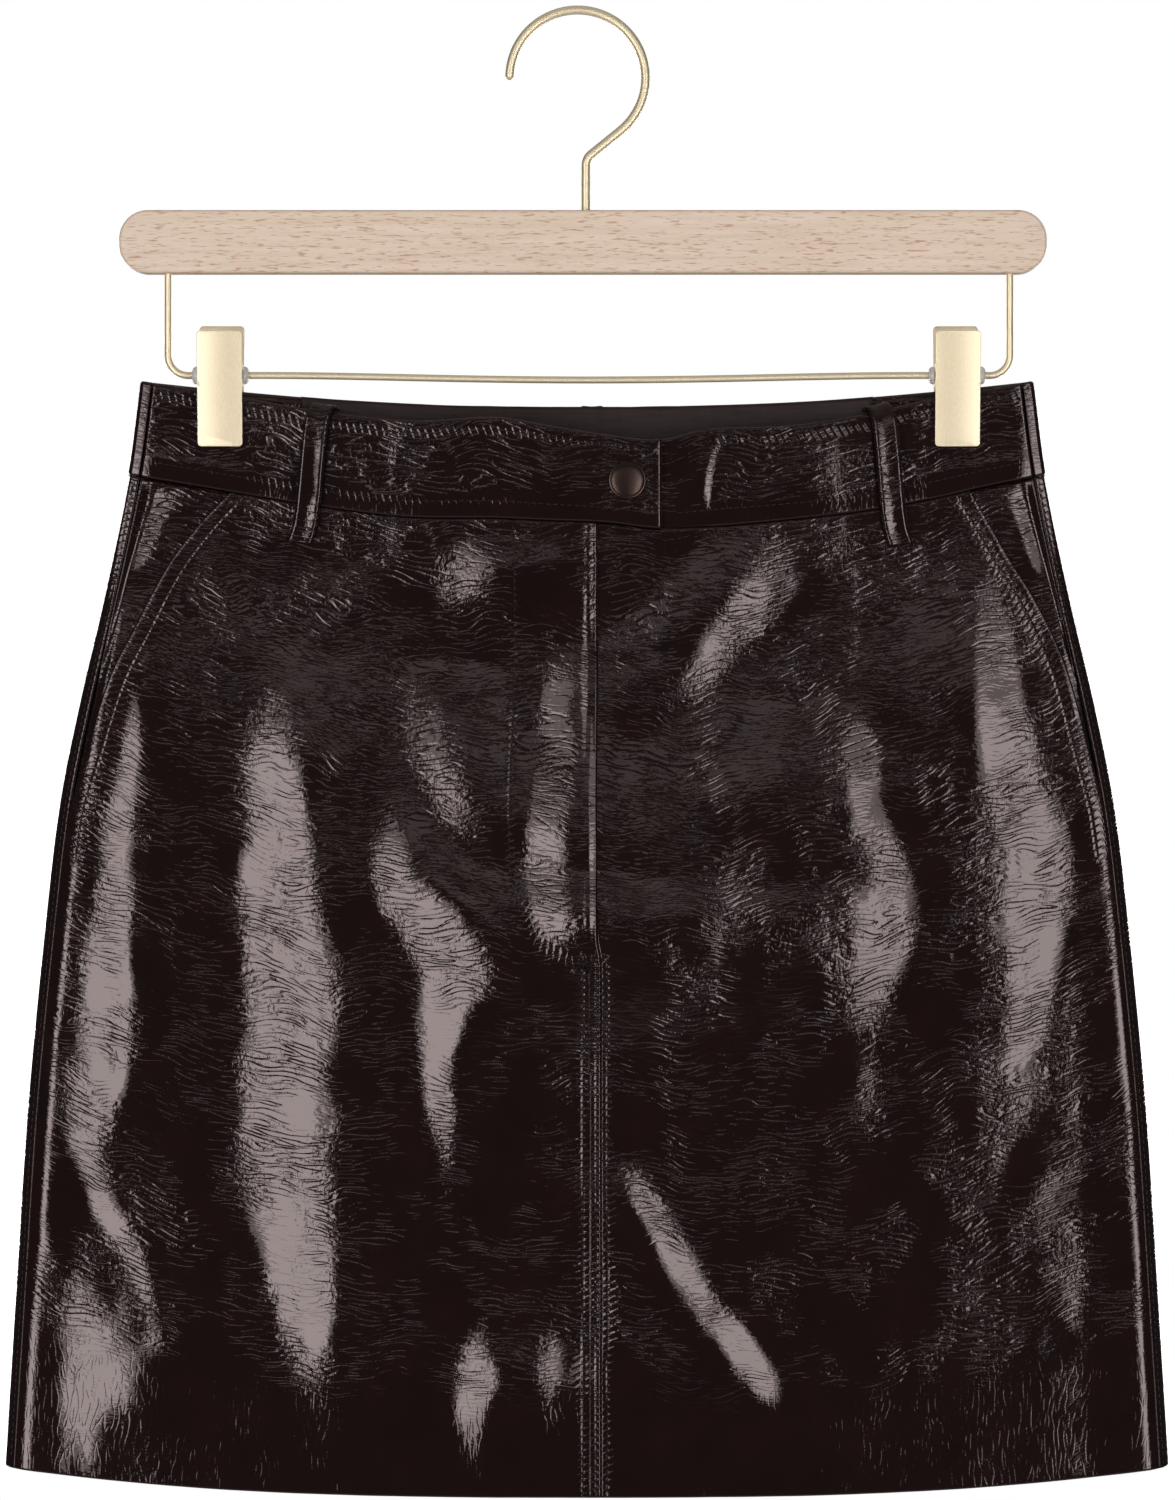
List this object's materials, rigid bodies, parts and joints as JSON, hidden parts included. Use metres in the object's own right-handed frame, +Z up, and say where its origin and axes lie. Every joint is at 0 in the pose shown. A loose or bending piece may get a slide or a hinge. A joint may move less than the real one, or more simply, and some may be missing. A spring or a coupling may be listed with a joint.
{
  "type": "leather mini skirt on clip hanger",
  "caption": "Short flared leather skirt with a contoured waistband, fly front and slanted pockets, hung flat by the waist from a wooden bar hanger with sliding spring clips.",
  "frame": {"origin": "inner top of the hanger's hook, where it rests on a rail", "axes": "+Z up, +X to the right when facing the front of the skirt, and the front faces -Y"},
  "size_m": [0.4658, 0.0529, 0.595],
  "materials": {
    "patent_leather": "very dark brown crinkled patent leather, glossy",
    "satin": "dark brown satin with fine ribs",
    "zip_tape": "dark woven zip tape",
    "snap_metal": "dark bronze, satin",
    "beech": "pale beech, satin lacquer",
    "pale_brass": "pale brass plating, brushed",
    "clear_plastic": "milky translucent plastic"
  },
  "bodies": {
    "root": {"front_left": "patent_leather", "front_right": "patent_leather", "back_panel": "patent_leather", "pocket_facing_left": "patent_leather", "pocket_facing_right": "patent_leather", "fly_zip": "zip_tape", "waistband_front_left": "patent_leather", "waistband_front_right": "patent_leather", "waistband_back": "patent_leather", "waistband_back_facing": "satin", "belt_loop_front_left": "patent_leather", "belt_loop_front_right": "patent_leather", "belt_loop_back": "patent_leather", "snap_cap": "snap_metal", "hanger_bar": "beech", "hook": "pale_brass", "clip_wire": "pale_brass", "clip_left_front": "pale_brass", "clip_left_back": "pale_brass", "clip_right_front": "pale_brass", "clip_right_back": "pale_brass", "clip_sleeve_left": "clear_plastic", "clip_sleeve_right": "clear_plastic", "clip_spring_left": "pale_brass", "clip_spring_right": "pale_brass"}
  },
  "joints": []
}
